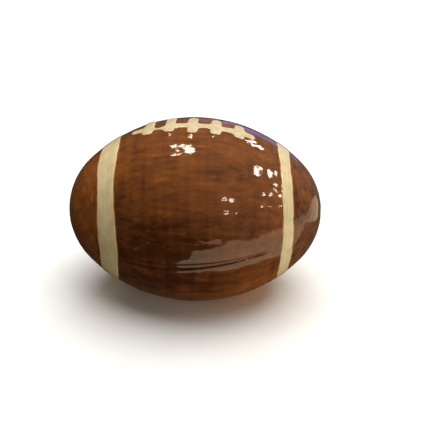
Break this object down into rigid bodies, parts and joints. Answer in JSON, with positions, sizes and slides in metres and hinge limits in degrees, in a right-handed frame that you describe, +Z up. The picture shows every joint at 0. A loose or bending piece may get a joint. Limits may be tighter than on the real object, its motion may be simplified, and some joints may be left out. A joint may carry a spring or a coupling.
{
  "type": "football-shaped coin bank",
  "caption": "Glazed ceramic coin bank shaped as an American football, with cream stripes, raised laces, a coin slot at the back and a pull-out rubber stopper under its foot.",
  "frame": {"origin": "on the ground under the middle of the ball, at the centre of its foot", "axes": "+X along the ball towards the end with the narrower stripe, -Y towards the front, which the picture shows, +Z up towards the laces"},
  "size_m": [0.19, 0.139, 0.1356],
  "materials": {
    "brown_glaze": "brushed brown underglaze under a clear gloss glaze",
    "cream_glaze": "cream underglaze under a clear gloss glaze",
    "lace_glaze": "pale cream underglaze under a clear gloss glaze",
    "stopper_rubber": "matt soft moulding"
  },
  "bodies": {
    "bank": {"shell": "brown_glaze", "left_stripe": "cream_glaze", "right_stripe": "cream_glaze", "lace_spine": "lace_glaze", "cross_lace_1": "lace_glaze", "cross_lace_2": "lace_glaze", "cross_lace_3": "lace_glaze", "cross_lace_4": "lace_glaze", "cross_lace_5": "lace_glaze"},
    "plug": {"stopper": "stopper_rubber"}
  },
  "joints": [
    {"name": "stopper_pull", "type": "slide", "parent": "bank", "child": "plug", "axis": [0, 0, -1], "range_m": [0, 0.03]}
  ]
}
